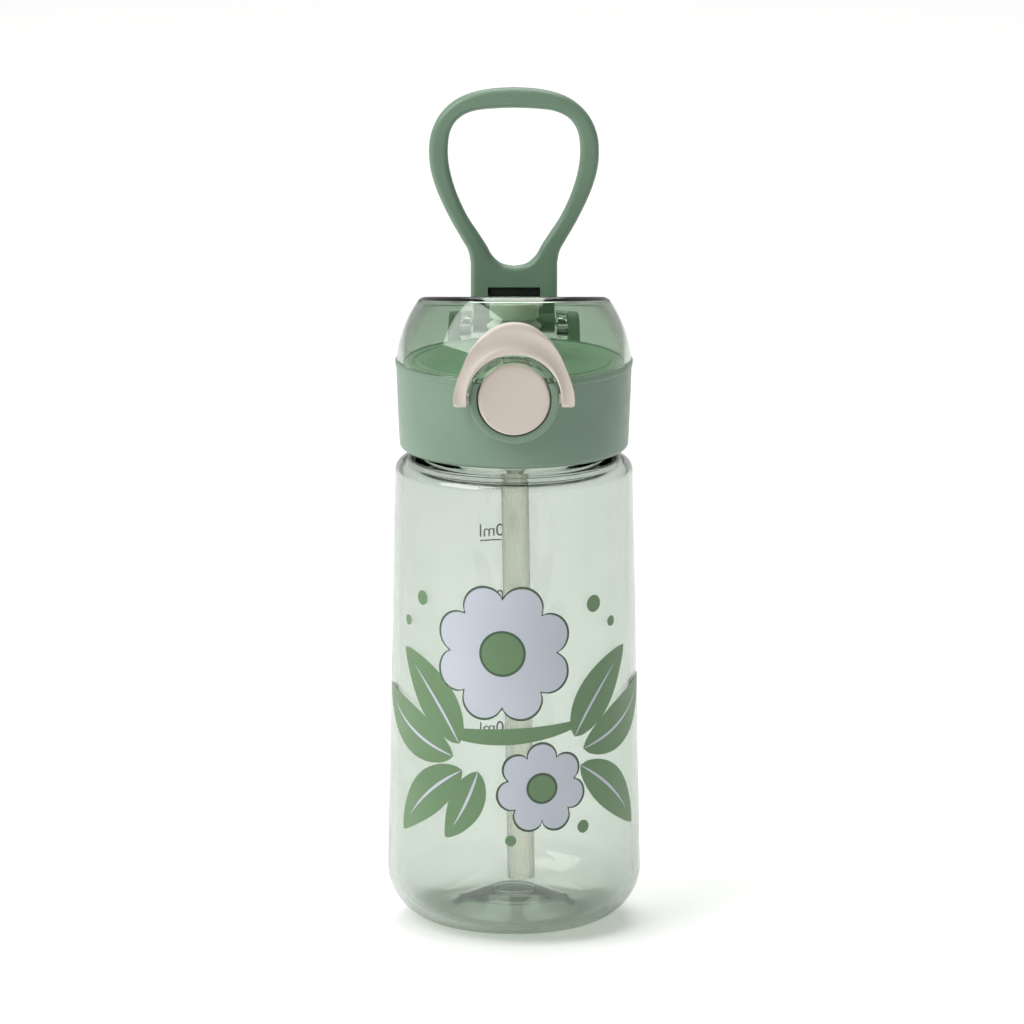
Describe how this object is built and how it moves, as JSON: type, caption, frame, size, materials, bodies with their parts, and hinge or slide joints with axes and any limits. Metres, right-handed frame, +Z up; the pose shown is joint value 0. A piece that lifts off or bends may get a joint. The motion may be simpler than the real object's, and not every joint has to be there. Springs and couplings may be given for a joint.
{
  "type": "kids water bottle",
  "caption": "Clear tinted straw bottle for children with a threaded lid, flip-up dome, push button, lock bail and swing handle.",
  "frame": {"origin": "centre of the base, on the table", "axes": "+Z up along the bottle, -Y is the front with the button, +X is the right hand of a person facing the front"},
  "size_m": [0.0774, 0.0824, 0.25],
  "materials": {
    "tinted_clear": "clear grey-green copolyester, polished",
    "tinted_green": "clear green polycarbonate, polished",
    "sage_pp": "satin moulded polypropylene, sage green",
    "cream_abs": "satin moulded ABS, warm cream",
    "natural_pp": "milky natural polypropylene",
    "silicone": "translucent white silicone",
    "black_rubber": "matt black elastomer",
    "green_ink": "screen-printed green ink, cured matt",
    "white_ink": "screen-printed milky white ink, cured matt",
    "steel": "drawn stainless wire"
  },
  "bodies": {
    "bottle": {"bottle_body": "tinted_clear"},
    "gasket": {"lid_gasket": "silicone"},
    "lid": {"lid_ring": "sage_pp", "button_collar": "sage_pp", "inner_lid": "sage_pp", "deck_plate": "sage_pp", "spout": "silicone", "spout_collar": "sage_pp", "straw_connector": "natural_pp", "connector_oring": "black_rubber", "straw": "natural_pp", "vent_valve": "silicone", "hinge_pin": "steel", "hinge_spring": "steel"},
    "dome": {"dome_cover": "tinted_green", "dome_seal_pad": "silicone"},
    "handle": {"handle": "sage_pp", "handle_pad": "black_rubber"},
    "button": {"button_cap": "cream_abs", "latch_slider": "natural_pp", "button_spring": "steel"},
    "bail": {"lock_bail": "cream_abs"}
  },
  "joints": [
    {"name": "lid_rise", "type": "slide", "parent": "bottle", "child": "gasket", "axis": [0, 0, 1], "range_m": [0, 0.005]},
    {"name": "lid_turn", "type": "hinge", "parent": "gasket", "child": "lid", "pos_m": [0, 0, 0.15], "axis": [0, 0, 1], "range_deg": [0, 450]},
    {"name": "dome_flip", "type": "hinge", "parent": "lid", "child": "dome", "pos_m": [0, 0.0374, 0.1784], "axis": [-1, 0, 0], "range_deg": [0, 110]},
    {"name": "handle_fold", "type": "hinge", "parent": "dome", "child": "handle", "pos_m": [0, 0.0374, 0.1784], "axis": [1, 0, 0], "range_deg": [-165, 0]},
    {"name": "button_press", "type": "slide", "parent": "lid", "child": "button", "axis": [0, 1, 0], "range_m": [0, 0.0025], "stiffness_N_per_m": 800, "springref_m": -0.002, "deforming": ["button_spring"]},
    {"name": "bail_swing", "type": "hinge", "parent": "lid", "child": "bail", "pos_m": [0, -0.0356, 0.1684], "axis": [1, 0, 0], "range_deg": [0, 115]}
  ],
  "couplings": [
    {"joint": "lid_rise", "follows": "lid_turn", "m_per_rad": 0.0006366}
  ]
}
